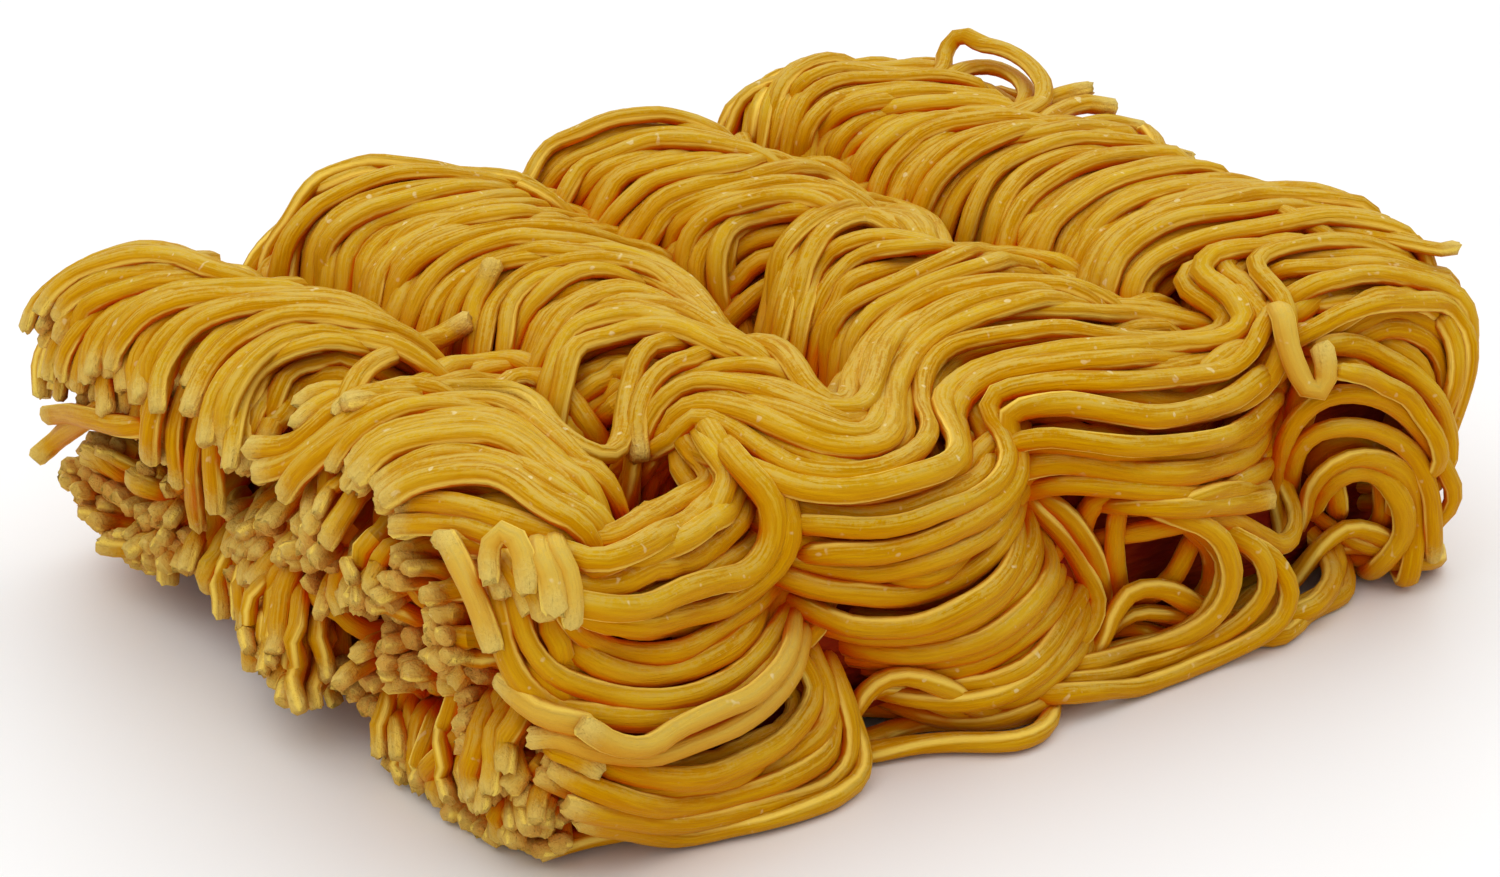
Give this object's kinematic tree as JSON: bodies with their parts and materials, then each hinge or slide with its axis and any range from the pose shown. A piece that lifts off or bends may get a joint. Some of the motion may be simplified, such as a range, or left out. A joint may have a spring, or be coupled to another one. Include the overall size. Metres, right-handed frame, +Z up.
{
  "type": "block of rice ramen noodles",
  "caption": "Folded block of dried rice ramen noodles: long golden strands in rolling humps, cut across at one end and looped at the other.",
  "frame": {"origin": "middle of the bottom of the block", "axes": "+X along the strands, from the ragged cut end to the looped one; +Y across the folds, to the higher side; +Z up"},
  "size_m": [0.1064, 0.081, 0.034],
  "materials": {
    "noodle": "dried rice noodle, translucent golden, dull"
  },
  "bodies": {
    "root": {"noodle_block": "noodle"}
  },
  "joints": []
}
